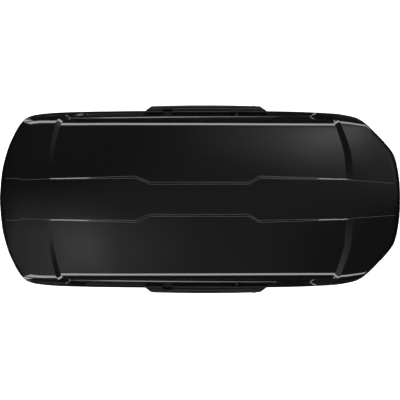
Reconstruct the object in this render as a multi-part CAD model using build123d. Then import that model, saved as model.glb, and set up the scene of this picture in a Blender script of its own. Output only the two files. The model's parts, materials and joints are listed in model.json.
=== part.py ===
from build123d import *
import os
from math import cos, pi, sin

# Roof cargo box. Millimetres. +X to the rear, +Y to the vehicle's right, +Z up.
# The origin is the middle of the footprint, at the feet of the crossbar clamps.

os.makedirs("parts", exist_ok=True)

# ---- driving dimensions -------------------------------------------------------------
HALF_LENGTH = 975.0
HALF_WIDTH = 431.0
TRAY_Z = 45.0
SEAM_Z = 205.0
RIM_Z = SEAM_Z + 8.0
SHOULDER_RISE = 210.0
CAP_RISE = 290.0
WALL = 3.5
FLOOR = 4.0
RIM_INSET = WALL + 4.0
RIM_FLANGE = 16.0
SEAL_INSET = (9.0, 15.0)
SEAL_HEIGHT = 5.0

AXIS_Y = 390.0
AXIS_Z = 200.0
PIN_R = 5.0
RUNNING = 0.06
EYE_R = 11.0
ARM_X = (-550.0, 550.0)
ARM_THICK = 4.0
LUG_THICK = 6.0
ARM_A_X = -7.5
ARM_B_X = 4.0
OUTER_LUG_X = -13.0
INNER_LUG_X = 9.5

HOOK_X = (-420.0, 20.0, 440.0)
HOOK_THICK = 4.0
HOOK_TRAVEL = 18.0
STRIKER_PIN_LENGTH = 16.0

CLAMP_X = 380.0
CLAMP_Y = 230.0
SLOT_LENGTH = 220.0
SLOT_WIDTH = 14.0
SPARE_SLOT_Y = 170.0
SPARE_SLOT_LENGTH = 150.0
SPARE_SLOT_WIDTH = 9.0

GRIP_Y = 457.6
GRIP_TOP = SEAM_Z + 22.0
GRIP_BOTTOM = SEAM_Z - 5.0
GRIP_WALL = 3.5
BUTTON_X = 178.0
KEY_X = 262.0
KEY_Z = SEAM_Z + 8.0
KEY_R = 7.0

# Half outlines, (x, half width): nose, side, then the corners of the cut-off tail.
PLAN = {
    "nose": [(-975, 0), (-953, 182), (-904, 314), (-865, 375), (-846, 394)],
    "side": [(-846, 394), (-807, 407.6), (-710, 419), (-534, 425), (-145, 431),
             (344, 427), (539, 422), (685, 412), (753, 397), (792, 377)],
    "cut": (929, 237),
    "corner": (948, 203),
    "tail": (975, 0),
}
SHOULDER = {
    "nose": [(-962, 0), (-938, 170), (-886, 296), (-862, 336), (-846, 350)],
    "side": [(-846, 350), (-807, 352), (-710, 354), (-534, 366), (-145, 368),
             (344, 368), (539, 368), (685, 367), (753, 366), (785, 362)],
    "cut": (918, 232),
    "corner": (936, 199),
    "tail": (963, 0),
}
BOTTOM = {
    "nose": [(-690, 0), (-680, 150), (-650, 262), (-620, 318), (-590, 345)],
    "side": [(-590, 345), (-540, 362), (-460, 370), (-380, 373), (-145, 376),
             (344, 373), (539, 367), (640, 357), (690, 342), (720, 322)],
    "cut": (840, 195),
    "corner": (862, 165),
    "tail": (885, 0),
}
# The lid's crown: (x, height of the centre line, height at the shoulder), above the seam.
CROWN = [(-985, 46, 12), (-900, 116, 52), (-800, 168, 104), (-650, 214, 152),
         (-400, 250, 190), (0, 268, 208), (400, 272, 214), (750, 258, 204), (990, 216, 172)]
SHOULDER_Y = 368.0
CROWN_HALF = 480.0


# ---- shapes shared by the sub-parts -------------------------------------------------
def mirrored(points):
    """The points of one side, reversed and put on the other side."""
    return [(x, -y) for x, y in reversed(points)]


def outline(plan, z, inset=0.0):
    """A closed level outline at height z, pulled in by inset."""
    fx = 1 - inset / HALF_LENGTH
    fy = 1 - inset / HALF_WIDTH
    at = lambda p: (p[0] * fx, p[1] * fy, z)
    nose = mirrored(plan["nose"][1:]) + plan["nose"]
    cut, corner = plan["cut"], plan["corner"]
    low = lambda p: (p[0], -p[1])
    edges = [
        Spline(*[at(p) for p in nose]),
        Spline(*[at(p) for p in plan["side"]]),
        Line(at(plan["side"][-1]), at(cut)),
        Line(at(cut), at(corner)),
        ThreePointArc(at(corner), at(plan["tail"]), at(low(corner))),
        Line(at(low(corner)), at(low(cut))),
        Line(at(low(cut)), at(low(plan["side"][-1]))),
        Spline(*[at(p) for p in mirrored(plan["side"])]),
    ]
    return Face(Wire(edges))


def between(low, high, share):
    """The plan that lies a share of the way from one plan to another."""
    mix = lambda a, b: (a[0] + (b[0] - a[0]) * share, a[1] + (b[1] - a[1]) * share)
    lists = {k: [mix(a, b) for a, b in zip(low[k], high[k])] for k in ("nose", "side")}
    return {**lists, **{k: mix(low[k], high[k]) for k in ("cut", "corner", "tail")}}


def half_width(x):
    """Half width of the plan at x, along its sides."""
    side = PLAN["side"]
    for (x0, y0), (x1, y1) in zip(side, side[1:]):
        if x0 <= x <= x1:
            return y0 + (y1 - y0) * (x - x0) / (x1 - x0)
    return side[-1][1]


def crown_solid(drop):
    """Everything below the lid's crowned top, lowered by drop."""
    faces = []
    for x, centre, shoulder in CROWN:
        fall = (centre - shoulder) * (CROWN_HALF / SHOULDER_Y) ** 2
        top = SEAM_Z + centre - drop
        edge = top - fall
        low = SEAM_Z - 200
        a, b, c, d = ((x, -CROWN_HALF, low), (x, CROWN_HALF, low),
                      (x, CROWN_HALF, edge), (x, -CROWN_HALF, edge))
        arc = ThreePointArc(c, (x, 0, top), d)
        faces.append(Face(Wire([Line(a, b), Line(b, c), arc, Line(d, a)])))
    return Solid.make_loft([f.outer_wire() for f in faces])


def lofted(*faces):
    """A ruled solid through level outlines."""
    return Solid.make_loft([f.outer_wire() for f in faces], ruled=True)


def box(x0, x1, y0, y1, z0, z1):
    """A box between its lowest and highest corners."""
    centre = ((x0 + x1) / 2, (y0 + y1) / 2, (z0 + z1) / 2)
    return Pos(*centre) * Box(abs(x1 - x0), abs(y1 - y0), abs(z1 - z0))


def rod(radius, start, end):
    """A cylinder from one point to another, along a row axis."""
    direction = Vector(*end) - Vector(*start)
    plane = Plane(origin=start, z_dir=direction.normalized())
    return extrude(plane * Circle(radius), direction.length)


def side_prism(points, x0, x1, side):
    """A prism along X from (inboard distance, height) pairs about the side's hinge axis."""
    corners = [(x0, side * (AXIS_Y - u), AXIS_Z + w) for u, w in points]
    face = Face(Wire.make_polygon(corners, close=True))
    return Solid.extrude(face, Vector(x1 - x0, 0, 0))


def eye(x0, x1, side, radius=EYE_R):
    """A disc about the side's hinge axis."""
    y = side * AXIS_Y
    return rod(radius, (x0, y, AXIS_Z), (x1, y, AXIS_Z))


def bore(x0, x1, side, radius=PIN_R + RUNNING):
    """The hole for a pin on the side's hinge axis."""
    return eye(x0 - 1, x1 + 1, side, radius)


def save(name, *shapes):
    """Writes one sub-part, a single solid or a group of separate ones."""
    solids = [s for shape in shapes for s in shape.solids()]
    whole = solids[0] if len(solids) == 1 else Compound(children=solids)
    whole.label = name
    export_step(whole, f"parts/{name}.step")


SIDES = {"left": -1, "right": 1}


# ---- base tray ----------------------------------------------------------------------
def tray_block(inset, floor):
    """The tray's outer form, or with an inset and a floor its inner form."""
    rim = outline(PLAN, RIM_Z, RIM_INSET + inset)
    block = lofted(outline(BOTTOM, TRAY_Z, inset), rim)
    if floor:
        block &= box(-HALF_LENGTH, HALF_LENGTH, -HALF_WIDTH, HALF_WIDTH, TRAY_Z + floor, RIM_Z)
    return block


def ring(z0, z1, inset0, inset1):
    """A flat ring along the rim between two insets."""
    outer = extrude(outline(PLAN, z0, inset0), z1 - z0, dir=(0, 0, 1))
    inner = extrude(outline(PLAN, z0, inset1), z1 - z0, dir=(0, 0, 1))
    return outer - inner


def slot_cut(x, y, length, width, z0, z1):
    """A slotted hole along X through the floor."""
    plane = Plane(origin=(x, y, z0))
    return extrude(plane * SlotOverall(length, width), z1 - z0)


def all_slots(z0, z1):
    """Every crossbar slot: the clamps' own and the spare ones beside them."""
    cuts = []
    for x in (-CLAMP_X, CLAMP_X):
        for y in (-1, 1):
            cuts.append(slot_cut(x, y * CLAMP_Y, SLOT_LENGTH, SLOT_WIDTH, z0, z1))
            cuts.append(slot_cut(x, y * SPARE_SLOT_Y, SPARE_SLOT_LENGTH, SPARE_SLOT_WIDTH, z0, z1))
    return cuts


def base_tray():
    flange_drop = 3.0
    shell = tray_block(0, 0) - tray_block(WALL, FLOOR)
    shell += ring(RIM_Z - flange_drop, RIM_Z, RIM_INSET + 2, RIM_FLANGE)
    for cut in all_slots(TRAY_Z - 1, TRAY_Z + FLOOR + 1):
        shell -= cut
    return shell


def rim_seal():
    return ring(RIM_Z, RIM_Z + SEAL_HEIGHT, *SEAL_INSET)


RAIL_HALF_LENGTH = 520.0
RAIL_Y = (150.0, 262.0)
RAIL_THICK = 2.5
RAIL_LIP = 10.0


def floor_rail(side):
    low, high = sorted((side * RAIL_Y[0], side * RAIL_Y[1]))
    z = TRAY_Z + FLOOR
    plate = box(-RAIL_HALF_LENGTH, RAIL_HALF_LENGTH, low, high, z, z + RAIL_THICK)
    for edge, inward in ((low, 1), (high, -1)):
        lip = box(-RAIL_HALF_LENGTH, RAIL_HALF_LENGTH, edge, edge + inward * RAIL_THICK, z, z + RAIL_LIP)
        plate += lip
    for cut in all_slots(z - 1, z + RAIL_THICK + 1):
        plate -= cut
    return plate


# ---- lid ----------------------------------------------------------------------------
def lid_block(inset):
    """The lid's outer form, or with an inset its inner form."""
    lean = between(PLAN, SHOULDER, CAP_RISE / SHOULDER_RISE)
    walls = lofted(
        outline(PLAN, SEAM_Z, inset),
        outline(lean, SEAM_Z + CAP_RISE, inset),
    )
    return walls & crown_solid(inset)


STEM_Z = (SEAM_Z + 35.0, SEAM_Z + 43.0)
STEM_X = (BUTTON_X - 6.0, BUTTON_X + 6.0)


def lid_shell():
    shell = lid_block(0) - lid_block(WALL)
    play = 2.0
    for side in SIDES.values():
        low, high = sorted((side * 380.0, side * 440.0))
        shell -= box(STEM_X[0] - play, STEM_X[1] + HOOK_TRAVEL + play, low, high,
                     STEM_Z[0] - play, STEM_Z[1] + play)
    return shell


LID_RAIL_Z = (SEAM_Z + 58.0, SEAM_Z + 84.0)
LID_RAIL_Y = (366.0, 388.0)
LID_RAIL_HALF = 640.0
LID_RAIL_WALL = 2.5


def lid_rail(side):
    """A box beam inside the lid, above the latch bar."""
    y0, y1 = sorted((side * LID_RAIL_Y[0], side * LID_RAIL_Y[1]))
    z0, z1 = LID_RAIL_Z
    t = LID_RAIL_WALL
    beam = box(-LID_RAIL_HALF, LID_RAIL_HALF, y0, y1, z0, z1)
    return beam - box(-LID_RAIL_HALF - 1, LID_RAIL_HALF + 1, y0 + t, y1 - t, z0 + t, z1 - t)


# ---- grips, buttons and locks -------------------------------------------------------
def grip_plan(inset, z):
    """The grip's trapezoid plan on the right-hand side."""
    back = 396.0
    points = [(-273 + inset, back), (-257 + inset, 440), (-241 + inset, 452.8 - inset)]
    middle = (30, GRIP_Y - inset)
    far = [(295 - inset, 453.3 - inset), (314 - inset, 440), (331 - inset, back)]
    at = lambda p: (p[0], p[1], z)
    start, end = points[-1], far[0]
    edges = [Line(at(points[0]), at(points[1])), Line(at(points[1]), at(start)),
             ThreePointArc(at(start), at(middle), at(end)),
             Line(at(end), at(far[1])), Line(at(far[1]), at(far[2])),
             Line(at(far[2]), at(points[0]))]
    return Face(Wire(edges))


def grip(side, lid_solid):
    body = extrude(grip_plan(0, GRIP_BOTTOM), GRIP_TOP - GRIP_BOTTOM, dir=(0, 0, 1))
    top_edges = body.edges().group_by(Axis.Z)[-1].sort_by(Axis.Y)[1:]
    body = chamfer(top_edges, 3.0)
    hollow_top = GRIP_TOP - GRIP_WALL
    body -= extrude(grip_plan(GRIP_WALL, GRIP_BOTTOM - 1), hollow_top - GRIP_BOTTOM + 1, dir=(0, 0, 1))
    boss = rod(KEY_R + 4, (KEY_X, 438, KEY_Z), (KEY_X, 453.5, KEY_Z))
    body += boss
    body -= rod(KEY_R + RUNNING, (KEY_X, 430, KEY_Z), (KEY_X, 470, KEY_Z))
    body -= lid_solid
    body -= extrude(outline(PLAN, GRIP_BOTTOM - 1, -0.2), SEAM_Z - GRIP_BOTTOM + 1, dir=(0, 0, 1))
    body = max(body.solids(), key=lambda s: s.volume)
    return body if side > 0 else mirror(body, Plane.XZ)


PAD_Y = (423.0, 430.0)
PAD_Z = (SEAM_Z + 28.0, SEAM_Z + 48.0)
PAD_HALF = 34.0


def slide_button(side):
    """The slide lever outside the lid's wall, with its stem through the wall to the bar."""
    pad = box(BUTTON_X - PAD_HALF, BUTTON_X + PAD_HALF, *PAD_Y, *PAD_Z)
    pad = chamfer(pad.faces().sort_by(Axis.Y)[-1].edges(), 2.0)
    for k in range(6):
        x = BUTTON_X - PAD_HALF + 12 + 8 * k
        pad -= box(x, x + 3, PAD_Y[1] - 1, PAD_Y[1] + 1, PAD_Z[0] + 3, PAD_Z[1] - 3)
    lever = pad + box(*STEM_X, BAR_Y[1] + 0.5, PAD_Y[0] + 1, *STEM_Z)
    return lever if side > 0 else mirror(lever, Plane.XZ)


def key_cylinder(side):
    face_y = GRIP_Y - 1.6
    body = rod(KEY_R, (KEY_X, 436, KEY_Z), (KEY_X, face_y, KEY_Z))
    body -= box(KEY_X - 1, KEY_X + 1, face_y - 6, face_y + 2, KEY_Z - 4, KEY_Z + 4)
    cam = box(KEY_X - 3, KEY_X + 3, 432, 436, KEY_Z - 3, KEY_Z + 3)
    whole = body + cam
    return whole if side > 0 else mirror(whole, Plane.XZ)


# ---- latches ------------------------------------------------------------------------
BAR_Y = (366.0, 370.0)
BAR_Z = (SEAM_Z + 34.0, SEAM_Z + 52.0)


def hook_start(x):
    """Where a hook's plate begins at rest, just past the free end of its striker pin."""
    return x + STRIKER_PIN_LENGTH + 2.0


def latch_bar(side):
    """A sliding bar inside the lid with three ring hooks that reach down to the strikers."""
    ends = (HOOK_X[0] + 4, HOOK_X[-1] + STRIKER_PIN_LENGTH + 24)
    u0, u1 = AXIS_Y - BAR_Y[1], AXIS_Y - BAR_Y[0]
    bar = box(*ends, *sorted((side * BAR_Y[0], side * BAR_Y[1])), *BAR_Z)
    neck = [(6, -8), (u0, -2), (u1, 24), (u1, BAR_Z[1] - AXIS_Z), (u0, BAR_Z[1] - AXIS_Z),
            (u0 - 6, 34), (10, 22), (8, 6)]
    for x in HOOK_X:
        x0 = hook_start(x)
        x1 = x0 + HOOK_THICK
        hook = side_prism(neck, x0, x1, side) + eye(x0, x1, side)
        bar += hook
        bar -= bore(x0, x1, side, PIN_R + 1.0)
    return bar


WALL_GAP = 2.2


def bracket(x0, x1, side):
    """An eye on the tray's side wall, with its flange along the wall."""
    spread = 20.0
    slope = 0.28
    wall = AXIS_Y - (half_width((x0 + x1) / 2) - RIM_INSET - WALL - slope * (RIM_Z - AXIS_Z))
    back = lambda w: wall + WALL_GAP - slope * w
    t = 2.5
    web = [(back(-2), -2), (EYE_R - 1, -4), (EYE_R + 1, -50), (back(-50), -50)]
    top = -EYE_R - 2.0
    flange = [(back(top), top), (back(top) + t, top), (back(-50) + t, -50), (back(-50), -50)]
    lug = side_prism(web, x0, x1, side) + side_prism(flange, x0 - spread, x1 + spread, side)
    lug += eye(x0, x1, side)
    rivets = []
    for x in (x0 - spread * 0.6, x1 + spread * 0.6):
        for w in (-22.0, -41.0):
            u = back(w) + t
            start = Vector(x, side * (AXIS_Y - u), AXIS_Z + w)
            normal = Vector(0, -side, slope).normalized()
            plane = Plane(origin=start, z_dir=normal)
            rivets.append(extrude(plane * Circle(4.0), 1.8, taper=20))
    return lug - bore(x0, x1, side), rivets


def striker(side):
    """Brackets with a cantilever pin each, and their rivets."""
    solids, rivets = [], []
    for x in HOOK_X:
        lug, heads = bracket(x - LUG_THICK, x, side)
        pin = eye(x - LUG_THICK, x + STRIKER_PIN_LENGTH, side, PIN_R)
        solids.append(lug + eye(x - LUG_THICK, x, side, PIN_R + 2) + pin)
        rivets += heads
    return solids, rivets


# ---- dual-side lifter arms ----------------------------------------------------------
def cross_arm(x, offset):
    """A flat steel arm between both hinge axes, with a pressed rib along it."""
    x0 = x + offset - ARM_THICK / 2
    x1 = x0 + ARM_THICK
    y = AXIS_Y
    bar = box(x0, x1, -y, y, AXIS_Z - 9, AXIS_Z + 9)
    bar += eye(x0, x1, 1) + eye(x0, x1, -1)
    bar -= bore(x0, x1, 1) + bore(x0, x1, -1)
    for k in range(-2, 3):
        window = Plane(origin=(x0 - 1, k * 130.0, AXIS_Z), x_dir=(0, 1, 0), z_dir=(1, 0, 0))
        bar -= extrude(window * SlotOverall(90, 8), ARM_THICK + 2)
    return bar


def lug_span(x, offset):
    """The two ends in X of a lug at a station."""
    return x + offset - LUG_THICK / 2, x + offset + LUG_THICK / 2


def lid_bracket(side, offset):
    """The eyes under the lid's stiffener beam, cranked inboard so that they clear the rim."""
    top = LID_RAIL_Z[0] - AXIS_Z
    neck = [(8, -6), (16, -4), (24, 40), (24, top), (3, top), (3, 44), (13, 30), (11, 8)]
    solids = []
    for x in ARM_X:
        x0, x1 = lug_span(x, offset)
        foot = box(x - 34, x + 34, *sorted((side * (AXIS_Y - 3), side * (AXIS_Y - 24))),
                   LID_RAIL_Z[0] - 2.5, LID_RAIL_Z[0])
        lug = side_prism(neck, x0, x1, side) + eye(x0, x1, side) + foot
        solids.append(lug - bore(x0, x1, side))
    return solids


def pivot_pin(x, side, low, high):
    """A headed pin through a lug and an arm, with a retaining collar."""
    clearance = 0.25
    head = 2.5
    pin = eye(x + low - clearance - head, x + high + clearance + head, side, PIN_R)
    pin += eye(x + low - clearance - head, x + low - clearance, side, PIN_R + 3)
    pin += eye(x + high + clearance, x + high + clearance + head, side, PIN_R + 2.5)
    return pin


OUTER_PAIR = (OUTER_LUG_X - LUG_THICK / 2, ARM_A_X + ARM_THICK / 2)
INNER_PAIR = (ARM_B_X - ARM_THICK / 2, INNER_LUG_X + LUG_THICK / 2)


def lift_spring(x, side):
    """A torsion spring's coil round the collar side of a base pin."""
    wire, turns = 1.4, 3.25
    coil_r = PIN_R + 4.4
    outer = side < 0
    start = x + (INNER_PAIR[1] + 4.5 if not outer else OUTER_PAIR[0] - 4.5 - 3 * wire * turns)
    path = Helix(pitch=wire * 1.6, height=wire * 1.6 * turns, radius=coil_r,
                 center=(0, 0, 0), direction=(0, 0, 1))
    section = Plane(origin=path @ 0, z_dir=path % 0) * Circle(wire / 2)
    coil = sweep(section, path=path)
    return Pos(start, side * AXIS_Y, AXIS_Z) * Rot(0, 90, 0) * coil


# ---- luggage straps -----------------------------------------------------------------
STRAP_X = (-180.0, 180.0)
STRAP_WIDTH = 25.0
STRAP_THICK = 1.6


def luggage_strap(x):
    """Webbing across the floor between the rails, folded over at both ends."""
    z = TRAY_Z + FLOOR
    half = RAIL_Y[0] - 6
    web = box(x - STRAP_WIDTH / 2, x + STRAP_WIDTH / 2, -half, half, z + 0.2, z + 0.2 + STRAP_THICK)
    for side in (-1, 1):
        fold = box(x - STRAP_WIDTH / 2, x + STRAP_WIDTH / 2,
                   *sorted((side * half, side * (half - 60))), z + 0.2, z + 3.6)
        web += fold
    return web


def strap_buckle(x):
    """A side-release buckle lying on the strap."""
    z = TRAY_Z + FLOOR + 0.2 + STRAP_THICK + 0.1
    half = STRAP_WIDTH / 2 + 4
    body = box(x - half, x + half, -26, 26, z, z + 9)
    body = fillet(body.edges().filter_by(Axis.Z), 6)
    body = chamfer(body.faces().sort_by(Axis.Z)[-1].edges(), 1.5)
    for side in (-1, 1):
        body -= box(x - half + 5, x + half - 5, *sorted((side * 14, side * 18)), z - 1, z + 10)
    return body


# ---- crossbar clamps ----------------------------------------------------------------
SPINDLE_R = 4.0
NECK_R = 6.5
JAW_PIVOT = (46.0, 33.0)
JAW_HALF = 15.0
JAW_EYE_R = 7.0
JAW_PIN_R = 3.0
CHEEK_HALF = 19.5
CHEEK_END = 54.0
CHEEK_Z = 26.0
BLOCK_HALF = 34.5
BLOCK_Z = 33.0
CARRIAGE_Z = TRAY_Z + FLOOR + RAIL_THICK + 0.5
KNOB_R = 29.0
KNOB_HEIGHT = 26.0
NECK_TOP = CARRIAGE_Z + 6.0


def clamp_housing():
    """The block under the floor, its cheeks and the neck that runs in the slot."""
    top = TRAY_Z - 0.5
    block = box(-BLOCK_HALF, BLOCK_HALF, -CHEEK_HALF, CHEEK_HALF, BLOCK_Z, top)
    for end in (-1, 1):
        for side in (-1, 1):
            y0, y1 = sorted((side * (JAW_HALF + 0.5), side * CHEEK_HALF))
            x0, x1 = sorted((end * (BLOCK_HALF - 1), end * CHEEK_END))
            cheek = box(x0, x1, y0, y1, CHEEK_Z, top)
            block += fillet(cheek.edges().filter_by(Axis.Y).group_by(Axis.Z)[0], 7)
        x = end * JAW_PIVOT[0]
        block -= rod(JAW_PIN_R + RUNNING, (x, -30, JAW_PIVOT[1]), (x, 30, JAW_PIVOT[1]))
    block += rod(NECK_R, (0, 0, top - 1), (0, 0, NECK_TOP))
    return block - rod(SPINDLE_R + RUNNING, (0, 0, 20), (0, 0, 80))


def clamp_plate():
    """The sliding plate on top of the floor rail, round the neck."""
    plate = box(-34, 34, -22, 22, CARRIAGE_Z, CARRIAGE_Z + 4)
    plate = fillet(plate.edges().filter_by(Axis.Z), 8)
    return plate - rod(NECK_R, (0, 0, 0), (0, 0, 80))


def clamp_jaw(front):
    """A curled jaw whose tip passes under the crossbar, and the eye of its pivot."""
    x, z = JAW_PIVOT
    profile = [(x - 6, z + 3), (x + 6, z + 4), (x + 9, 16), (x + 5, 4), (x - 2, 0), (22, 0),
               (19, 3), (22, 6.5), (36, 7.5), (x - 7, 16)]
    corners = [(px, -JAW_HALF, pz) for px, pz in profile]
    face = Face(Wire.make_polygon(corners, close=True))
    jaw = Solid.extrude(face, Vector(0, 2 * JAW_HALF, 0))
    jaw += rod(JAW_EYE_R, (x, -JAW_HALF, z), (x, JAW_HALF, z))
    jaw -= rod(JAW_PIN_R + RUNNING, (x, -30, z), (x, 30, z))
    pad = box(24, 34, -JAW_HALF + 2, JAW_HALF - 2, 6, 9)
    jaw += pad
    return jaw if not front else mirror(jaw, Plane.YZ)


def jaw_pins():
    """The two pivot pins of one clamp's jaws."""
    x, z = JAW_PIVOT
    half = CHEEK_HALF + 0.4
    pins = []
    for at in (-x, x):
        pin = rod(JAW_PIN_R, (at, -half, z), (at, half, z))
        pin += rod(JAW_PIN_R + 1.5, (at, half, z), (at, half + 1.5, z))
        pin += rod(JAW_PIN_R + 1.5, (at, -half - 1.5, z), (at, -half, z))
        pins.append(pin)
    return pins


def clamp_knob():
    """The lobed knob inside the box, with the spindle that draws the jaws in."""
    low = NECK_TOP + 0.6
    lobes = 6
    knob = rod(KNOB_R, (0, 0, low), (0, 0, low + KNOB_HEIGHT))
    for k in range(lobes):
        angle = 2 * pi * (k + 0.5) / lobes
        x, y = (KNOB_R + 7) * cos(angle), (KNOB_R + 7) * sin(angle)
        knob -= rod(13, (x, y, low - 1), (x, y, low + KNOB_HEIGHT + 1))
    knob = chamfer(knob.faces().sort_by(Axis.Z)[-1].edges(), 2.0)
    knob += rod(SPINDLE_R, (0, 0, BLOCK_Z + 1), (0, 0, low + 1))
    return knob


# ---- build every node ---------------------------------------------------------------
def build_base():
    save("base_tray", base_tray())
    save("rim_seal", rim_seal())
    rivets = []
    for name, side in SIDES.items():
        save(f"floor_rail_{name}", floor_rail(side))
        solids, heads = striker(side)
        save(f"striker_{name}", *solids)
        rivets += heads
        offset = OUTER_LUG_X if side < 0 else INNER_LUG_X
        pair = OUTER_PAIR if side < 0 else INNER_PAIR
        lugs = []
        for x in ARM_X:
            lug, heads = bracket(*lug_span(x, offset), side)
            lugs.append(lug)
            rivets += heads
        save(f"base_bracket_{name}", *lugs)
        save(f"base_pins_{name}", *[pivot_pin(x, side, *pair) for x in ARM_X])
        save(f"lift_springs_{name}", *[lift_spring(x, side) for x in ARM_X])
    save("bracket_rivets", *rivets)
    for place, x in zip(("front", "rear"), STRAP_X):
        save(f"luggage_strap_{place}", luggage_strap(x))
        save(f"strap_buckle_{place}", strap_buckle(x))


def build_lid():
    save("lid_shell", lid_shell())
    lid_solid = lid_block(-0.2)
    for name, side in SIDES.items():
        save(f"lid_rail_{name}", lid_rail(side))
        save(f"grip_{name}", grip(side, lid_solid))
        save(f"slide_button_{name}", slide_button(side))
        save(f"key_cylinder_{name}", key_cylinder(side))
        save(f"latch_bar_{name}", latch_bar(side))
        offset = INNER_LUG_X if side < 0 else OUTER_LUG_X
        pair = INNER_PAIR if side < 0 else OUTER_PAIR
        save(f"lid_bracket_{name}", *lid_bracket(side, offset))
        save(f"lid_pins_{name}", *[pivot_pin(x, side, *pair) for x in ARM_X])


def build_arms():
    for place, x in zip(("front", "rear"), ARM_X):
        save(f"cross_arm_a_{place}", cross_arm(x, ARM_A_X))
        save(f"cross_arm_b_{place}", cross_arm(x, ARM_B_X))


def build_clamps():
    pieces = {
        "housing": [clamp_housing()],
        "plate": [clamp_plate()],
        "jaw_front": [clamp_jaw(True)],
        "jaw_rear": [clamp_jaw(False)],
        "jaw_pins": jaw_pins(),
        "knob": [clamp_knob()],
    }
    for place, x in (("front", -CLAMP_X), ("rear", CLAMP_X)):
        for name, side in SIDES.items():
            for piece, solids in pieces.items():
                moved = [Pos(x, side * CLAMP_Y, 0) * solid for solid in solids]
                save(f"clamp_{place}_{name}_{piece}", *moved)


build_base()
build_lid()
build_arms()
build_clamps()
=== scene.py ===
import json
import math

import bmesh
import bpy
import numpy as np
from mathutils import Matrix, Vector


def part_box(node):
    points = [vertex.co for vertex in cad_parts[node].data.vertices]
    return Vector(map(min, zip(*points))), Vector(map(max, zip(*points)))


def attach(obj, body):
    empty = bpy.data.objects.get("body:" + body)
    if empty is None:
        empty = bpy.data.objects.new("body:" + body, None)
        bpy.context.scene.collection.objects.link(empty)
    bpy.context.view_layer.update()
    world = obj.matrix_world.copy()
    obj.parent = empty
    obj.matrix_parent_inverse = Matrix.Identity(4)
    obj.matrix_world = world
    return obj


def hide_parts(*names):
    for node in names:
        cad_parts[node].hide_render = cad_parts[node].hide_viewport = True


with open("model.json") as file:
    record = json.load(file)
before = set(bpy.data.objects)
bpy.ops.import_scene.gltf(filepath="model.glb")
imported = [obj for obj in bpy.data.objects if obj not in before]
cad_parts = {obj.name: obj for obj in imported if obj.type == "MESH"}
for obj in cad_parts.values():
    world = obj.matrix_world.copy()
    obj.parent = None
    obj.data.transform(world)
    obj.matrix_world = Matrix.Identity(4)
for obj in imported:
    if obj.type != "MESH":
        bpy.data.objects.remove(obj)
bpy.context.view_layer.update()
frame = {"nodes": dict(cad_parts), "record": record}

MM = 0.001
SIDES = {"left": -1, "right": 1}

# ---- driving sizes, in millimetres of the row frame ----------------------------------
LID_LOW, LID_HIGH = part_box("lid_shell")
SEAM = LID_LOW.z / MM
HALF_LENGTH = LID_HIGH.x / MM
LID_THICK = 3.0
GAP_UNDER_CAD = 1.5
# The middle panel lies this far below the caps at the shoulder: a step at its border, and
# the rest as a fall that eases off between these two half widths.
PANEL_STEP = 10.5
BORDER_STEP = 2.5
PANEL_FALL = (95.0, 385.0)

# Half outline of the skirt: (half width, x) along nose and tail, (x, half width) along a side.
NOSE = [(0, -974.7), (41, -972.6), (137, -962.8), (184.6, -953), (220, -943), (250, -933.6),
        (274.4, -923.8), (296.3, -914), (334.3, -894.6), (366, -875), (377, -865), (388, -855.6)]
SIDE = [(-855.6, 388), (-846, 396.5), (-836, 400.5), (-802, 411), (-704, 421.5), (-607, 425.2),
        (-412, 429), (-145, 431), (100, 430.6), (368, 428.6), (466, 426.5), (563, 422.7),
        (660, 416.7), (712, 409), (758, 397.5), (782, 386), (795, 377)]
TAIL = [(0, 974.7), (60, 972.6), (108, 968), (167.6, 958), (203, 948.5), (217, 943), (239.7, 928.7),
        (275.4, 899.4), (306.5, 870), (336, 841), (364, 811.7), (377, 795)]
# The crown along the lid: (x, centre height, shoulder height), above the seam.
CROWN = [(-985, 46, 30), (-900, 116, 66), (-800, 168, 116), (-650, 214, 160), (-400, 250, 196),
         (0, 268, 210), (400, 272, 214), (750, 258, 204), (990, 216, 172)]
CROWN_Y = 368.0
# The shoulder edge's half width along the side; the middle panel's edge lies further in.
EDGE_X = (-849.0, 782.0)
CAP_EDGE = [(-849, 385), (-760, 392), (-676, 393), (0, 393.5), (653, 391), (700, 386), (782, 374)]
MID_DROP = 13.0
# The slanting bands between the middle panel and the caps. They bow like the nose and the
# tail near the centre line, each within its share of the lid, and lean along the walls.
FRONT_BAND, REAR_BAND = -676.0, 653.0
BAND_HALF = 10.5
BAND_MARGIN = BAND_HALF + 1.5
NOSE_BOW, NOSE_BOW_END = 3.0, 0.45
TAIL_BOW, TAIL_BOW_START = 3.3, 0.7
BAND_LEAN, BAND_LEAN_SPREAD, BAND_LEAN_CLEAR = 150.0, 230.0, 150.0
BAND_LEAN_CURVE = 1.3
# On the walls the bands narrow by this share, over this share of the way down.
BAND_NARROW, BAND_NARROW_END = 0.35, 0.4
# The centre panel's border: (x, inner line, outer line).
BORDER = [(-985, 101, 101), (-872, 101, 101), (-857, 94, 94), (-800, 95, 95), (-731, 98, 98),
          (-690, 97, 101), (-500, 99, 106), (-307, 101, 111), (-239, 72, 82), (234, 72, 82),
          (283, 101, 111), (487, 96.5, 105), (692, 94, 97), (741, 90, 90), (829, 84, 84),
          (926, 77, 77), (985, 74, 74)]
BEAD = 1.5
DOUBLE_GAP = 3 * BEAD
# The side wall's ledge: (x at the shoulder, share of the way down to the skirt). The wall
# draws in for it over the shares LEDGE_START; LEDGE_ROUND is the spacing of its rows.
LEDGE = [(-849, 0.45), (-663, 0.36), (-487, 0.37), (-292, 0.435), (0, 0.51), (390, 0.62),
         (507, 0.75), (653, 0.85), (782, 0.7)]
LEDGE_WIDTH = 4.5
LEDGE_RISE = 0.1 * LEDGE_WIDTH
LEDGE_START = (0.1, 0.3)
LEDGE_ROUND = 0.012
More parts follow.
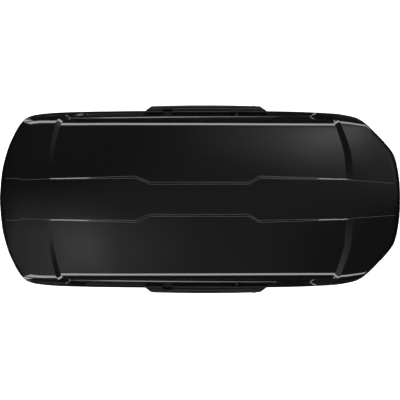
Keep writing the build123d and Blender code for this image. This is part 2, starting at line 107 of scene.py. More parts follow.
# The shoulder's fillet: how far in it starts on top, and at which share of the way down the
# wall it ends. Over the length CORNER at either end, its start turns to the nose's or tail's.
SHOULDER_IN, SHOULDER_DOWN = 32.0, 0.2
NOSE_IN, TAIL_IN = 16.0, 14.0
CORNER = 60.0
FILLET_ROWS = 8
# How far the middle panel's wall lies inside the caps' walls, and how much of that applies at
# each share of the way down.
WALL_RECESS = 15.0
RECESS_SHARE = [(0, 0), (0.9, 0.9), (1, 0)]


# ---- curves --------------------------------------------------------------------------
def through(points, x):
    """A smooth curve through (x, y) points, without overshoot."""
    px, py = np.array(points, float).T
    step = np.diff(px)
    rise = np.diff(py) / step
    slope = np.concatenate([[rise[0]], np.zeros(len(px) - 2), [rise[-1]]])
    same = rise[:-1] * rise[1:] > 0
    mean = 2 * rise[:-1] * rise[1:] / np.where(same, rise[:-1] + rise[1:], 1)
    slope[1:-1] = np.where(same, mean, 0)
    x = np.clip(x, px[0], px[-1])
    k = np.clip(np.searchsorted(px, x, side="right") - 1, 0, len(step) - 1)
    h = step[k]
    t = (x - px[k]) / h
    return (py[k] * (1 + 2 * t) * (1 - t) ** 2 + slope[k] * h * t * (1 - t) ** 2
            + py[k + 1] * t * t * (3 - 2 * t) + slope[k + 1] * h * t * t * (t - 1))


def straight(points, x, column=1):
    """The polyline through the points at x."""
    table = np.array(points, float)
    return np.interp(x, table[:, 0], table[:, column])


def ramp(x, low, high):
    """0 below low, 1 above high, with softly rounded ends."""
    t = np.clip((x - low) / (high - low), 0, 1)
    return t * t * (3 - 2 * t)


# ---- lid form ------------------------------------------------------------------------
def middle(station, half=BAND_HALF):
    """1 on the lid's middle panel and 0 on the caps, by the station's x at the shoulder."""
    front = np.clip((station - FRONT_BAND + half) / (2 * half), 0, 1)
    rear = np.clip((REAR_BAND + half - station) / (2 * half), 0, 1)
    return np.minimum(front, rear)


def edge_half(station):
    """Half width of the shoulder edge."""
    return straight(CAP_EDGE, station) - MID_DROP * middle(station)


def bows(station):
    """How much a station line bows like the nose's edge and like the tail's edge."""
    share = (station - EDGE_X[0]) / (EDGE_X[1] - EDGE_X[0])
    nose = np.clip(1 - share / NOSE_BOW_END, 0, 1) ** NOSE_BOW
    tail = np.clip((share - TAIL_BOW_START) / (1 - TAIL_BOW_START), 0, 1) ** TAIL_BOW
    return nose, tail


def plan_x(station, t):
    """x of a point at t, from 0 at the centre line to 1 at the shoulder edge."""
    nose, tail = bows(station)
    nose_x = through(NOSE, NOSE[-1][0] * t) - NOSE[-1][1]
    tail_x = through(TAIL, TAIL[-1][0] * t) - TAIL[-1][1]
    return station + nose * nose_x + tail * tail_x


def crown(x, y, station):
    """Height of the lid's top, in millimetres."""
    centre = through([(at, high) for at, high, _ in CROWN], x)
    shoulder = through([(at, low) for at, _, low in CROWN], x)
    height = SEAM + centre - (centre - shoulder) * (y / CROWN_Y) ** 2 - GAP_UNDER_CAD
    inner, outer = straight(BORDER, x, 1), straight(BORDER, x, 2)
    outside = np.clip((np.abs(y) - inner) / np.maximum(outer - inner, DOUBLE_GAP), 0, 1)
    across = np.clip((np.abs(y) - PANEL_FALL[0]) / (PANEL_FALL[1] - PANEL_FALL[0]), 0, 1)
    fall = (PANEL_STEP - BORDER_STEP) * (1 - (1 - across) ** 2)
    return height - middle(station) * (BORDER_STEP * outside + fall)


def stations():
    """Station positions along the shoulder, closer together at the ends and at the bands."""
    start, end = EDGE_X[0] + NOSE_IN, EDGE_X[1] - TAIL_IN
    front, rear = FRONT_BAND, REAR_BAND
    stops = [(start, 10), (start + 40, 12), (front - BAND_MARGIN, 16), (front + BAND_MARGIN, 22),
             (-320, 14), (-225, 30), (225, 12), (300, 24), (rear - BAND_MARGIN, 16),
             (rear + BAND_MARGIN, 10), (end - 40, 10), (end, 0)]
    lines = [np.linspace(a, b, count, endpoint=False)
             for (a, count), (b, _) in zip(stops, stops[1:])]
    return np.concatenate(lines + [[end]])


def columns(station):
    """Half widths of the grid's lines across one half, centre line first, out to the fillet."""
    edge = edge_half(station)
    top = edge - SHOULDER_IN
    inner = np.full_like(station, 100.0)
    # The border is given along x, and x depends on the half width: three rounds settle it.
    for _ in range(3):
        x = plan_x(station, inner / edge)
        inner = straight(BORDER, x, 1)
        outer = np.maximum(straight(BORDER, x, 2), inner)
    second = np.maximum(outer, inner + DOUBLE_GAP)
    doubled = np.clip((outer - inner) / DOUBLE_GAP, 0, 1)
    centre = np.zeros_like(station)
    # Rows marked 1 are the border beads, where the lid's colour is painted paler as a painted
    # highlight.
    lines, painted_highlight_marks = [], []

    def add(low, high, count, mark=0.0):
        for k in range(count):
            lines.append(low + (high - low) * k / count)
            painted_highlight_marks.append(np.full_like(station, mark) if np.isscalar(mark) else mark)

    add(centre, inner - BEAD, 8)
    add(inner - BEAD, inner, 1)
    add(inner, inner + BEAD, 1, 1.0)
    add(inner + BEAD, second - BEAD, 2)
    add(second - BEAD, second, 1)
    add(second, second + BEAD, 1, doubled)
    add(second + BEAD, top, 26)
    lines.append(top)
    painted_highlight_marks.append(np.zeros_like(station))
    return np.array(lines), np.array(painted_highlight_marks)


def side_edge(station):
    """The shoulder's sharp edge line, before the fillet rounds it."""
    start, end = EDGE_X[0] + NOSE_IN, EDGE_X[1] - TAIL_IN
    pull = NOSE_IN * np.clip(1 - (station - start) / CORNER, 0, 1)
    push = TAIL_IN * np.clip(1 - (end - station) / CORNER, 0, 1)
    x = station - pull + push
    y = edge_half(x)
    return np.array([x, y, crown(x, y, station)])


def side_skirt(station):
    """The wall's foot below a station: the bands lean along the wall on their way down."""
    x = side_edge(station)[0]
    lean = np.exp(-((x - FRONT_BAND) / BAND_LEAN_SPREAD) ** 2)
    lean -= np.exp(-((x - REAR_BAND) / BAND_LEAN_SPREAD) ** 2)
    lean *= BAND_LEAN * ramp(np.minimum(x - EDGE_X[0], EDGE_X[1] - x), 0, BAND_LEAN_CLEAR)
    foot_x = np.interp(x, EDGE_X, (SIDE[0][0], SIDE[-1][0])) + lean
    return np.array([foot_x, through(SIDE, foot_x), np.full_like(foot_x, SEAM)])


def side_wall(station, share, shelf):
    """A point of the side wall; shelf is 0 above the wall's ledge and 1 below it."""
    edge, foot = side_edge(station), side_skirt(station)
    ledge = straight(LEDGE, station)
    width = LEDGE_WIDTH * ramp(share, *LEDGE_START)
    across = (foot[1] - edge[1] - width) * share + width * shelf
    half = BAND_HALF * (1 - BAND_NARROW * ramp(share, 0, BAND_NARROW_END))
    recess = WALL_RECESS * middle(station, half) * straight(RECESS_SHARE, share)
    rise = LEDGE_RISE * shelf * (1 - share) / (1 - ledge)
    x = edge[0] + (foot[0] - edge[0]) * share ** BAND_LEAN_CURVE
    z = edge[2] + (foot[2] - edge[2]) * share + rise
    return np.array([x, edge[1] + across - recess, z])


def end_wall(first, tail):
    """Edge and foot lines of the nose or the tail, for the top grid's end row."""
    station = np.full(len(first), EDGE_X[1] if tail else EDGE_X[0])
    edge = edge_half(station)
    t = first[:, 1] / first[-1, 1]
    x, y = plan_x(station, t), t * edge
    table = TAIL if tail else NOSE
    foot_y = table[-1][0] * t
    foot = np.array([through(table, foot_y), foot_y, np.full_like(t, SEAM)])
    return np.array([x, y, crown(x, y, station)]), foot


def wall_rows(ledge, above=4, below=6):
    """(share, shelf) of each row of the wall below the fillet, round the ledge's share."""
    rows = [(SHOULDER_DOWN + (ledge - SHOULDER_DOWN) * k / above, 0.0) for k in range(1, above)]
    rows += [(ledge - LEDGE_ROUND, 0.0), (ledge, 0.0), (ledge, 1.0), (ledge + LEDGE_ROUND, 1.0)]
    rows += [(ledge + (1 - ledge) * k / below, 1.0) for k in range(1, below + 1)]
    return rows


def lid_half():
    """The half lid: its top grid, and the loop of rows from the top's rim down to the skirt."""
    s = stations()
    ys, painted_highlight_marks = columns(s)
    top = []
    for y in ys:
        x = plan_x(s, y / edge_half(s))
        top.append([x, y, crown(x, y, s)])
    top = np.array(top).transpose(2, 0, 1)
    nose, tail = top[0], top[-1]
    nose_edge, nose_foot = end_wall(nose, False)
    tail_edge, tail_foot = end_wall(tail, True)
    rim = np.concatenate([nose, top[1:-1, -1], tail[::-1]])

    def around(nose_part, side_part, tail_part):
        return np.concatenate([nose_part.T, side_part.T[1:-1], tail_part.T[::-1]])

    def level(share, shelf):
        share = np.broadcast_to(share, s.shape)
        return around(nose_edge + (nose_foot - nose_edge) * share[0],
                      side_wall(s, share, shelf),
                      tail_edge + (tail_foot - tail_edge) * share[-1])

    edge = around(nose_edge, side_edge(s), tail_edge)
    low = level(SHOULDER_DOWN, 0.0)
    loops = []
    for k in range(1, FILLET_ROWS + 1):
        u = k / FILLET_ROWS
        loops.append((1 - u) ** 2 * rim + 2 * u * (1 - u) * edge + u * u * low)
    for share, shelf in wall_rows(straight(LEDGE, s)):
        loops.append(level(share, shelf))
    return top, painted_highlight_marks.T, rim, loops


def lid_mesh():
    """The whole lid's outer surface, from the half and its mirror image."""
    top, painted_highlight_marks, rim, loops = lid_half()
    # Each vertex also gets a weight for the painted highlight that makes the border beads paler.
    verts, faces, painted_highlight_mask = [], [], []
    index = {}

    def vert(p, mark=0.0):
        key = tuple(np.round(p, 2))
        if key not in index:
            index[key] = len(verts)
            verts.append((p[0] * MM, p[1] * MM, p[2] * MM))
            painted_highlight_mask.append(mark)
        return index[key]

    def patch(ids, flip):
        for i in range(len(ids) - 1):
            for j in range(len(ids[i]) - 1):
                corners = [ids[i][j], ids[i + 1][j], ids[i + 1][j + 1], ids[i][j + 1]]
                corners = [v for k, v in enumerate(corners) if v not in corners[:k]]
                if len(corners) > 2:
                    faces.append(corners[::-1] if flip else corners)

    for side in (1, -1):
        turn = np.array([1, side, 1])
        patch([[vert(p * turn, m) for p, m in zip(line, mark)]
               for line, mark in zip(top, painted_highlight_marks)], side < 0)
        patch([[vert(p * turn) for p in loop] for loop in [rim] + loops], side > 0)
    return verts, faces, painted_highlight_mask


# ---- mesh helpers --------------------------------------------------------------------
def link(name, mesh):
    """A new object in the scene that shows a mesh."""
    piece = bpy.data.objects.new(name, mesh)
    bpy.context.scene.collection.objects.link(piece)
    return piece


def smooth(piece):
    for polygon in piece.data.polygons:
        polygon.use_smooth = True


# ---- materials -----------------------------------------------------------------------
def material(name, color, roughness, metallic=0.0):
    """A Principled material and its node tree."""
    m = bpy.data.materials.new(name)
    m.use_nodes = True
    shader = m.node_tree.nodes["Principled BSDF"]
    shader.inputs["Base Color"].default_value = (*color, 1)
    shader.inputs["Roughness"].default_value = roughness
    shader.inputs["Metallic"].default_value = metallic
    return m, m.node_tree.nodes, m.node_tree.links, shader


def noise(nodes, links, scale, detail=2.0):
    """Noise in object space."""
    where = nodes.new("ShaderNodeTexCoord")
    texture = nodes.new("ShaderNodeTexNoise")
    texture.inputs["Scale"].default_value = scale
    texture.inputs["Detail"].default_value = detail
    links.new(where.outputs["Object"], texture.inputs["Vector"])
    return texture


def map_range(nodes, links, source, low, high, start=0.0, end=1.0):
    """Maps start..end to low..high."""
    node = nodes.new("ShaderNodeMapRange")
    node.inputs["From Min"].default_value = start
    node.inputs["From Max"].default_value = end
    node.inputs["To Min"].default_value = low
    node.inputs["To Max"].default_value = high
    links.new(source, node.inputs["Value"])
    return node.outputs["Result"]


def multiply(nodes, links, first, second):
    """The product of two values."""
    node = nodes.new("ShaderNodeMath")
    node.operation = "MULTIPLY"
    links.new(first, node.inputs[0])
    links.new(second, node.inputs[1])
    return node.outputs[0]


def bump(nodes, links, shader, height, strength, distance):
    """Raises the material's surface by a height between 0 and 1."""
    node = nodes.new("ShaderNodeBump")
    node.inputs["Strength"].default_value = strength
    node.inputs["Distance"].default_value = distance
    links.new(height, node.inputs["Height"])
    links.new(node.outputs["Normal"], shader.inputs["Normal"])


def mix_color(nodes, links, factor, first, second):
    """A colour between two, by a factor."""
    node = nodes.new("ShaderNodeMix")
    node.data_type = "RGBA"
    # A mix node holds sockets for every data type; inputs 6 and 7 and output 2 are colours.
    node.inputs[6].default_value = (*first, 1)
    node.inputs[7].default_value = (*second, 1)
    links.new(factor, node.inputs[0])
    return node.outputs[2]


# The border beads' paler grey stands in for the light that the lid's border lines catch: a painted
# highlight.
BEAD_PAINTED_HIGHLIGHT = (0.075, 0.075, 0.075)


def gloss_black():
    """Deep gloss ABS: faint orange peel, fine polishing haze, and satin border beads whose paler
    grey is a painted highlight.
    """
    m, nodes, links, shader = material("gloss_black_abs", (0.003, 0.003, 0.0032), 0.1)
    line = nodes.new("ShaderNodeAttribute")
    line.attribute_name = "border_painted_highlight"
    haze = noise(nodes, links, 9.0, 4.0)
    fine = map_range(nodes, links, haze.outputs["Fac"], 0.06, 0.13)
    rough = nodes.new("ShaderNodeMapRange")
    rough.inputs["To Max"].default_value = 0.55
    links.new(line.outputs["Fac"], rough.inputs["Value"])
    links.new(fine, rough.inputs["To Min"])
    links.new(rough.outputs["Result"], shader.inputs["Roughness"])
    # The beads' mask mixes their colour to the paler grey: a painted highlight on the border lines.
    painted_highlight_tint = mix_color(nodes, links, line.outputs["Fac"], (0.0028, 0.0028, 0.003), BEAD_PAINTED_HIGHLIGHT)
    links.new(painted_highlight_tint, shader.inputs["Base Color"])
    peel = noise(nodes, links, 260.0, 1.0)
    bump(nodes, links, shader, peel.outputs["Fac"], 0.02, 0.0004)
    return m


def grained_black(name="grained_black", base=(0.012, 0.012, 0.0125), rough=0.55, grain=900.0):
    """Matte moulded plastic with a fine leather grain."""
    m, nodes, links, shader = material(name, base, rough)
    cells = nodes.new("ShaderNodeTexVoronoi")
    cells.inputs["Scale"].default_value = grain
    where = nodes.new("ShaderNodeTexCoord")
    links.new(where.outputs["Object"], cells.inputs["Vector"])
    patch = noise(nodes, links, 14.0, 3.0)
    links.new(map_range(nodes, links, patch.outputs["Fac"], rough - 0.08, rough + 0.1),
              shader.inputs["Roughness"])
    pale = tuple(c * 1.7 for c in base)
    links.new(mix_color(nodes, links, patch.outputs["Fac"], base, pale), shader.inputs["Base Color"])
    bump(nodes, links, shader, cells.outputs["Distance"], 0.35, 0.0004)
    return m


def metal(name, color, rough, streak=True):
    """Plated or brushed metal with directional streaks."""
    m, nodes, links, shader = material(name, color, rough, 1.0)
    where = nodes.new("ShaderNodeTexCoord")
    scale = nodes.new("ShaderNodeMapping")
    scale.inputs["Scale"].default_value = (12, 500, 500) if streak else (60, 60, 60)
    texture = nodes.new("ShaderNodeTexNoise")
    texture.inputs["Scale"].default_value = 1.0
    texture.inputs["Detail"].default_value = 3.0
    links.new(where.outputs["Object"], scale.inputs["Vector"])
    links.new(scale.outputs["Vector"], texture.inputs["Vector"])
    links.new(map_range(nodes, links, texture.outputs["Fac"], rough - 0.08, rough + 0.14),
              shader.inputs["Roughness"])
    bump(nodes, links, shader, texture.outputs["Fac"], 0.08, 0.0002)
    return m


def webbing():
    """Woven strap: twill ribs along and across."""
    m, nodes, links, shader = material("woven_webbing", (0.03, 0.03, 0.033), 0.8)
    where = nodes.new("ShaderNodeTexCoord")
    waves = []
    for direction in ("X", "Y"):
        wave = nodes.new("ShaderNodeTexWave")
        wave.bands_direction = direction
        wave.inputs["Scale"].default_value = 180.0
        wave.inputs["Distortion"].default_value = 0.6
        links.new(where.outputs["Object"], wave.inputs["Vector"])
        waves.append(wave.outputs["Fac"])
    weave = multiply(nodes, links, *waves)
    links.new(mix_color(nodes, links, weave, (0.018, 0.018, 0.02), (0.07, 0.07, 0.075)),
              shader.inputs["Base Color"])
    bump(nodes, links, shader, weave, 0.7, 0.0006)
    return m


def soft_rubber():
    """Foam rubber with open pores."""
    m, nodes, links, shader = material("foam_rubber", (0.015, 0.015, 0.015), 0.75)
    pores = noise(nodes, links, 700.0, 2.0)
    links.new(map_range(nodes, links, pores.outputs["Fac"], 0.65, 0.95), shader.inputs["Roughness"])
    bump(nodes, links, shader, pores.outputs["Fac"], 0.3, 0.0005)
    return m


LOOKS = {
    "lid_gloss": gloss_black(),
    "tray_black": grained_black("grained_tray"),
    "grip_black": grained_black("fine_grained_grip", (0.004, 0.004, 0.0043), 0.5, 1600.0),
    "moulded_black": grained_black("moulded_nylon", (0.015, 0.015, 0.016), 0.5, 700.0),
    "knob_black": grained_black("soft_sheen_nylon", (0.02, 0.02, 0.021), 0.45, 900.0),
    "button_grey": grained_black("silver_grey_plastic", (0.32, 0.32, 0.33), 0.4, 1200.0),
    "zinc_steel": metal("zinc_plated_steel", (0.55, 0.55, 0.57), 0.38),
    "spring_steel": metal("oiled_spring_steel", (0.3, 0.3, 0.31), 0.35),
    "aluminium": metal("satin_aluminium", (0.75, 0.75, 0.77), 0.4),
    "chrome": metal("polished_chrome", (0.82, 0.82, 0.84), 0.16, False),
    "rubber": soft_rubber(),
    "webbing": webbing(),
}


def dress_nodes():
    """Gives every CAD node that shows its material."""
    slots = {p["node"]: p["material_slot"] for p in frame["record"]["subparts"]}
    for name, node in frame["nodes"].items():
        node.data.materials.clear()
        node.data.materials.append(LOOKS[slots[name]])


# ---- pieces --------------------------------------------------------------------------
def make_lid():
    """The gloss lid: a wall of even thickness under the outer surface."""
    verts, faces, painted_highlight_mask = lid_mesh()
    mesh = bpy.data.meshes.new("gloss_lid")
    mesh.from_pydata(verts, [], faces)
    # The beads' weights, by which the material paints them paler as a painted highlight.
    attribute = mesh.attributes.new("border_painted_highlight", "FLOAT", "POINT")
    attribute.data.foreach_set("value", painted_highlight_mask)
    mesh.update()
    lid = link("gloss_lid", mesh)
    bm = bmesh.new()
    bm.from_mesh(mesh)
    bmesh.ops.recalc_face_normals(bm, faces=bm.faces)
    if sum(f.normal.z for f in bm.faces) < 0:
        bmesh.ops.reverse_faces(bm, faces=bm.faces)
    bm.to_mesh(mesh)
    bm.free()
    smooth(lid)
    wall = lid.modifiers.new("wall", "SOLIDIFY")
    wall.thickness = LID_THICK * MM
    wall.offset = -1
    mesh.materials.append(LOOKS["lid_gloss"])
    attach(lid, "lid")
    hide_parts("lid_shell")
    return lid


# Half width of the grips' roots, at the lid's wall.
GRIP_ROOT = 423.0
GRIP_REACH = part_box("grip_right")[1].y / MM - 0.3
GRIP_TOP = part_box("grip_right")[1].z / MM
# Its front and rear end at each share of its depth, from the lid's wall outwards.
GRIP_ENDS = [(0, -273, 331), (0.5, -257, 314), (0.87, -241, 297), (1, -236, 291)]
# Its outer edge bows in by this much over this half length, from this middle.
GRIP_BOW, GRIP_BOW_HALF, GRIP_MIDDLE = 4.6, 268.0, 27.0
# Its section as (share of depth, height from its top): outside, then the hollow underneath,
# or near the ends a flat closing instead of the hollow.
GRIP_SKIN = [(0, 0), (0.1, 0), (0.13, -0.8), (0.15, -3.2), (0.27, -3.2), (0.29, -0.8), (0.33, 0),
             (0.55, 0), (0.58, -0.8), (0.6, -3.2), (0.68, -3.2), (0.7, -0.8), (0.74, -0.2),
             (0.88, -0.8), (0.96, -3.5), (1, -8), (1, -20), (0.97, -25), (0.94, -26.6)]
GRIP_HOLLOW = [(0.89, -26.4), (0.87, -24), (0.87, -7), (0.84, -5.4), (0, -5.4)]
GRIP_SOLID = [(0.89, -26.6), (0.75, -26.6), (0.6, -26.6), (0.5, -26.6), (0.4, -26.6)]
THUMB_HOLE = (-180.0, -136.0)
# How deep the thumb hollow dips, and over which share of the grip's depth; whatever lies
# lower than THUMB_LOW keeps its height.
THUMB_DEPTH, THUMB_SHARE, THUMB_LOW = 10.0, 0.45, -6.0
# The closed sections near either end, and where the hollow starts, as shares of the length.
GRIP_END = [0, 0.004, 0.0125]
GRIP_OPEN = 0.0135
# The hole in the lid's wall that the stem of a slide lever moves in.
LEVER_SLOT_X, LEVER_SLOT_Y, LEVER_SLOT_Z = (170.0, 204.0), (400.0, 440.0), (238.0, 250.0)
# The slide levers: count, pitch and width of a pad's ribs, and half lengths along the lid.
LEVER_RIBS, RIB_PITCH, RIB_WIDTH = 7, 8.0, 4.0
PAD_THICK, STEM_HALF, MARK_HALF = 7.0, 6.0, 16.0
# The straps stop short of their CAD boxes' ends, and lie flat near the centre line.
STRAP_THICK, STRAP_END, STRAP_FLAT_HALF = 1.5, 1.7, 30.0
STRAP_FOLD, FOLD_THICK = 62.0, 3.2
RIPPLE, RIPPLE_LENGTH, STRAP_STEPS = 0.25, 9.0, 60
TRAY_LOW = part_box("base_tray")[0].z / MM
TRAY_FLOOR = 4.0


def sweep_mesh(name, rings):
    """A closed skin through rings of points in millimetres, with flat ends."""
    count = len(rings[0])
    verts = [tuple(c * MM for c in p) for ring in rings for p in ring]
    faces = []
    for i in range(len(rings) - 1):
        for j in range(count):
            k = (j + 1) % count
            faces.append((i * count + j, i * count + k, (i + 1) * count + k, (i + 1) * count + j))
    faces.append(tuple(range(count))[::-1])
    faces.append(tuple(range((len(rings) - 1) * count, len(rings) * count)))
    mesh = bpy.data.meshes.new(name)
    mesh.from_pydata(verts, [], faces)
    bm = bmesh.new()
    bm.from_mesh(mesh)
    bmesh.ops.recalc_face_normals(bm, faces=bm.faces)
    bm.to_mesh(mesh)
    bm.free()
    return link(name, mesh)


def finish_piece(piece, body, slot, bevel=0.0):
    """Softens a piece's edges, gives it its material and lets it ride on its body."""
    if bevel:
        edge = piece.modifiers.new("edge", "BEVEL")
        edge.width = bevel * MM
        edge.segments = 2
        edge.limit_method = "ANGLE"
        edge.angle_limit = math.radians(35)
    smooth(piece)
    piece.data.materials.clear()
    piece.data.materials.append(LOOKS[slot])
    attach(piece, body)
    return piece


def grip_ring(u, side, solid):
    """The grip's section at share u of its length."""
    ring = []
    for share, drop in GRIP_SKIN + (GRIP_SOLID if solid else GRIP_HOLLOW):
        start = straight(GRIP_ENDS, share, 1)
        end = straight(GRIP_ENDS, share, 2)
        x = start + u * (end - start)
        reach = GRIP_REACH - GRIP_BOW * ((x - GRIP_MIDDLE) / GRIP_BOW_HALF) ** 2
        if share < THUMB_SHARE and drop > THUMB_LOW:
            inside = ramp(x, THUMB_HOLE[0] - 4, THUMB_HOLE[0] + 2)
            inside *= 1 - ramp(x, THUMB_HOLE[1] - 2, THUMB_HOLE[1] + 4)
            drop = drop - THUMB_DEPTH * inside * (1 - (share / THUMB_SHARE) ** 4)
        ring.append((x, side * (GRIP_ROOT + share * (reach - GRIP_ROOT)), GRIP_TOP + drop))
    return ring


def make_grip(name, side):
    """The wide grip along the skirt: a ridged shelf with an outer lip, hollow underneath."""
    _, start, end = GRIP_ENDS[0]
    hole_x = np.linspace(THUMB_HOLE[0] - 10, THUMB_HOLE[1] + 10, 17)
    hole = [(x - start) / (end - start) for x in hole_x]
    shares = sorted(list(np.linspace(0.02, 0.98, 30)) + hole)
    rings = [grip_ring(u, side, True) for u in GRIP_END]
    rings += [grip_ring(u, side, False) for u in [GRIP_OPEN] + shares + [1 - GRIP_OPEN]]
    rings += [grip_ring(1 - u, side, True) for u in GRIP_END[::-1]]
    grip = sweep_mesh(f"side_grip_{name}", rings)
    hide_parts(f"grip_{name}")
    finish_piece(grip, "lid", "grip_black", 0.6)


def block(name, low, high):
    """A box piece between two corners, in millimetres."""
    (x0, y0, z0), (x1, y1, z1) = low, high
    y0, y1 = sorted((y0, y1))
    rings = [[(x, y0, z0), (x, y1, z0), (x, y1, z1), (x, y0, z1)] for x in (x0, x1)]
    return sweep_mesh(name, rings)


def join(pieces, name):
    """Puts several meshes into one piece."""
    bm = bmesh.new()
    for piece in pieces:
        bm.from_mesh(piece.data)
    mesh = bpy.data.meshes.new(name)
    bm.to_mesh(mesh)
    bm.free()
    for piece in pieces:
        bpy.data.objects.remove(piece)
    return link(name, mesh)


def cut_lever_slots(lid):
    """Opens the lid's wall where each slide lever's stem passes and slides."""
    (x0, x1), (y0, y1), (z0, z1) = LEVER_SLOT_X, LEVER_SLOT_Y, LEVER_SLOT_Z
    for side in SIDES.values():
        cutter = block("slot_cutter", (x0, side * y0, z0), (x1, side * y1, z1))
        cut = lid.modifiers.new("slot", "BOOLEAN")
        cut.operation = "DIFFERENCE"
        cut.solver = "EXACT"
        cut.object = cutter
        graph = bpy.context.evaluated_depsgraph_get()
        mesh = bpy.data.meshes.new_from_object(lid.evaluated_get(graph))
        lid.modifiers.clear()
        lid.data = mesh
        bpy.data.objects.remove(cutter)


def make_lever(name, side):
    """The slide lever above the grip: a ribbed pad, its stem through the wall, a pale mark."""
    low, high = (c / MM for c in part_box(f"slide_button_{name}"))
    inner, outer = sorted((abs(low.y), abs(high.y)))
    pad_in = outer - PAD_THICK
    parts = [block("pad", (low.x, side * pad_in, low.z), (high.x, side * (outer - 1), high.z))]
    for k in range(LEVER_RIBS):
        x = low.x + RIB_PITCH * (k + 1)
        parts.append(block("rib", (x, side * (outer - 1.5), low.z + 3),
                           (x + RIB_WIDTH, side * outer, high.z - 3)))
    middle_x, stem_z = (low.x + high.x) / 2, (low.z + high.z) / 2
    parts.append(block("stem", (middle_x - STEM_HALF, side * inner, stem_z - 3),
                       (middle_x + STEM_HALF, side * (pad_in + 1), stem_z + 5)))
    lever = join(parts, f"slide_lever_{name}")
    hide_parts(f"slide_button_{name}")
    finish_piece(lever, f"latch_{name}", "grip_black", 0.8)
    mark = block(f"lever_mark_{name}", (middle_x - MARK_HALF, side * (pad_in + 0.8), high.z - 1),
                 (middle_x + MARK_HALF, side * (pad_in + 3.4), high.z - 0.05))
    finish_piece(mark, f"latch_{name}", "button_grey", 0.3)


def make_strap(place):
    """A luggage strap lying on the floor, rippled a little, and folded back at each end."""
    low, high = (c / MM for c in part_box(f"luggage_strap_{place}"))
    half, width = high.y, high.x - low.x
    length = 2 * (half - STRAP_END)
    base = low.z + 0.1

    def section(y, z0, z1, inset=0.0):
        x0, x1 = low.x + inset, high.x - inset
        return [(x0, y, z0), (x1, y, z0), (x1, y, z1), (x0, y, z1)]

    rings = []
    for k in range(STRAP_STEPS + 1):
        y = -length / 2 + length * k / STRAP_STEPS
        z = base + RIPPLE * (1 + math.sin(y / RIPPLE_LENGTH)) * (abs(y) > STRAP_FLAT_HALF)
        rings.append(section(y, z, z + STRAP_THICK))
    web = sweep_mesh(f"strap_web_{place}", rings)
    for side_name, side in SIDES.items():
        strip = [section(side * (half - STRAP_FOLD), base + 1.9, base + FOLD_THICK, 0.4),
                 section(side * (half - STRAP_END), base, base + FOLD_THICK, 0.4)]
        fold = sweep_mesh(f"strap_fold_{place}_{side_name}", strip)
        finish_piece(fold, "base", "webbing", 0.3)
    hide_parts(f"luggage_strap_{place}")
    finish_piece(web, "base", "webbing")


# Ribs along the tray by their y, and across it by their x; the floor's ribs stop at the straps.
UNDER_RIBS = [-120, -60, 60, 120]
CROSS_RIBS = [-560, -250, 0, 250, 550]
UNDER_SPAN, CROSS_HALF = (-620, 610), 124
FLOOR_RIBS = [-105, -35, 35, 105]
RIB_SPANS = [(-610, -215), (-145, 145), (215, 600)]
UNDER_HALF, FLOOR_HALF, RIB_EDGE = 4, 9, 1.2


def make_tray_ribs():
    """Stiffening ribs under the tray's floor, and low ones on it between rails and straps."""
    low, high = TRAY_LOW - 3.5, TRAY_LOW + 1
    parts = []
    for y in UNDER_RIBS:
        parts.append(block("rib", (UNDER_SPAN[0], y - UNDER_HALF, low),
                           (UNDER_SPAN[1], y + UNDER_HALF, high)))
    for x in CROSS_RIBS:
        parts.append(block("rib", (x - UNDER_HALF, -CROSS_HALF, low + 0.1),
                           (x + UNDER_HALF, CROSS_HALF, high)))
    finish_piece(join(parts, "ribs_under_floor"), "base", "tray_black", RIB_EDGE)
    low, high = TRAY_LOW + TRAY_FLOOR - 1, TRAY_LOW + TRAY_FLOOR + 1.8
    parts = []
    for y in FLOOR_RIBS:
        for start, end in RIB_SPANS:
            parts.append(block("rib", (start, y - FLOOR_HALF, low), (end, y + FLOOR_HALF, high)))
    finish_piece(join(parts, "ribs_on_floor"), "base", "tray_black", RIB_EDGE)


# ---- stage, lights and camera --------------------------------------------------------
def plane(name, centre, size, look_at, mat):
    """A stage plane that faces a point; centre, size and point are in metres."""
    mesh = bpy.data.meshes.new(name)
    a, b = size[0] / 2, size[1] / 2
    mesh.from_pydata([(-a, -b, 0), (a, -b, 0), (a, b, 0), (-a, b, 0)], [], [(0, 1, 2, 3)])
    piece = link(name, mesh)
    piece.location = centre
    piece.rotation_mode = "QUATERNION"
    piece.rotation_quaternion = (Vector(look_at) - Vector(centre)).to_track_quat("Z", "Y")
    mesh.materials.append(mat)
    return piece


def glow(name, strength, soft=True):
    """An emitter: soft ones fade out towards their edges, the others shine evenly."""
    m = bpy.data.materials.new(name)
    m.use_nodes = True
    nodes, links = m.node_tree.nodes, m.node_tree.links
    nodes.clear()
    out = nodes.new("ShaderNodeOutputMaterial")
    light = nodes.new("ShaderNodeEmission")
    light.inputs["Strength"].default_value = strength
    if not soft:
        links.new(light.outputs[0], out.inputs["Surface"])
    else:
        clear = nodes.new("ShaderNodeBsdfTransparent")
        both = nodes.new("ShaderNodeAddShader")
        links.new(clear.outputs[0], both.inputs[0])
        links.new(light.outputs[0], both.inputs[1])
        links.new(both.outputs[0], out.inputs["Surface"])
        where = nodes.new("ShaderNodeTexCoord")
        centred = nodes.new("ShaderNodeMapping")
        centred.inputs["Location"].default_value = (-1, -1, 0)
        centred.inputs["Scale"].default_value = (2, 2, 0)
        links.new(where.outputs["Generated"], centred.inputs["Vector"])
        ball = nodes.new("ShaderNodeTexGradient")
        ball.gradient_type = "QUADRATIC_SPHERE"
        links.new(centred.outputs[0], ball.inputs["Vector"])
        scale = nodes.new("ShaderNodeMath")
        scale.operation = "MULTIPLY"
        scale.inputs[1].default_value = strength
        links.new(ball.outputs["Fac"], scale.inputs[0])
        links.new(scale.outputs[0], light.inputs["Strength"])
    return m


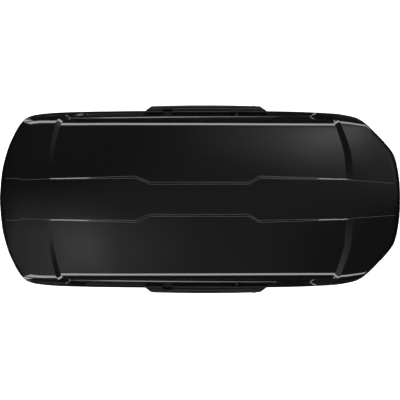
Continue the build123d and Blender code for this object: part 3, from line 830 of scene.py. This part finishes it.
def make_stage():
    """A pale floor, and panels that light the box and shine back from its gloss."""
    floor, _, _, shader = material("pale_floor", (0.9, 0.9, 0.9), 0.6)
    shader.inputs["Emission Color"].default_value = (1, 1, 1, 1)
    shader.inputs["Emission Strength"].default_value = 0.85
    ground = plane("floor", (0, 0, -0.001), (40, 40), (0, 0, 10), floor)
    ground.visible_glossy = False
    strip = glow("strip_glow", 7.5, False)
    low = glow("low_glow", 6.0, False)
    low_dim = glow("low_glow", 3.0, False)
    rear_wash = glow("wash_glow", 1.3)
    front_wash = glow("wash_glow", 0.58)
    # Each panel's centre, size and the point that it faces, in metres.
    panels = [
        ("strip_right", (-1, 4.0, 2.0), (8, 1.7), (-1, 0.3, 0.3), strip),
        ("strip_left", (-1, -4.0, 2.0), (8, 1.7), (-1, -0.3, 0.3), strip),
        ("low_front_right", (-4.2, 5.0, -1.7), (2.0, 4.2), (0.6, 0.4, 0.3), low),
        ("low_front_left", (-4.2, -5.0, -1.7), (2.0, 4.2), (0.6, -0.4, 0.3), low),
        ("low_rear_right", (4.2, 5.0, -1.7), (1.4, 4.2), (-0.7, 0.4, 0.3), low_dim),
        ("wash_rear_right", (0.95, 1.65, 2.6), (2.8, 2.3), (0.6, 0.3, 0.4), rear_wash),
        ("wash_front_left", (-1.4, -1.25, 2.6), (3.4, 3.0), (-0.6, -0.25, 0.4), front_wash),
    ]
    for name, centre, size, target, mat in panels:
        panel = plane(name, centre, size, target, mat)
        panel.visible_camera = False


def make_world():
    """White to the camera; to everything else a dim room: darker below the horizon, and
    brighter towards the rear right and the front left than towards the other two corners."""
    world = bpy.data.worlds.new("studio")
    bpy.context.scene.world = world
    world.use_nodes = True
    nodes, links = world.node_tree.nodes, world.node_tree.links
    back = nodes["Background"]
    where = nodes.new("ShaderNodeTexCoord")
    split = nodes.new("ShaderNodeSeparateXYZ")
    links.new(where.outputs["Generated"], split.inputs[0])
    height = map_range(nodes, links, split.outputs["Z"], 0.015, 0.24, -0.2, 0.6)
    corner = multiply(nodes, links, split.outputs["X"], split.outputs["Y"])
    balance = map_range(nodes, links, corner, 0.35, 2.1, -0.06, 0.16)
    path = nodes.new("ShaderNodeLightPath")
    level = nodes.new("ShaderNodeMapRange")
    links.new(multiply(nodes, links, height, balance), level.inputs["To Min"])
    links.new(path.outputs["Is Camera Ray"], level.inputs["Value"])
    links.new(level.outputs["Result"], back.inputs["Strength"])
    back.inputs["Color"].default_value = (0.97, 0.97, 0.98, 1)


LENS = 300.0
FRAMING = 0.998
SENSOR = 36.0
CAMERA_Y = -0.0035


def make_camera():
    """Straight down through a long lens, with the lid's length filling the picture."""
    data = bpy.data.cameras.new("camera")
    data.lens = LENS
    data.sensor_width = SENSOR
    camera = bpy.data.objects.new("camera", data)
    bpy.context.scene.collection.objects.link(camera)
    distance = 2 * HALF_LENGTH * MM * FRAMING * LENS / SENSOR
    camera.location = (0, CAMERA_Y, SEAM * MM + distance)
    data.clip_end = 200
    bpy.context.scene.camera = camera


bpy.context.scene.view_settings.view_transform = "Standard"
make_camera()
dress_nodes()
cut_lever_slots(make_lid())
for side_name, side_sign in SIDES.items():
    make_grip(side_name, side_sign)
    make_lever(side_name, side_sign)
for place_name in ("front", "rear"):
    make_strap(place_name)
make_tray_ribs()
make_stage()
make_world()
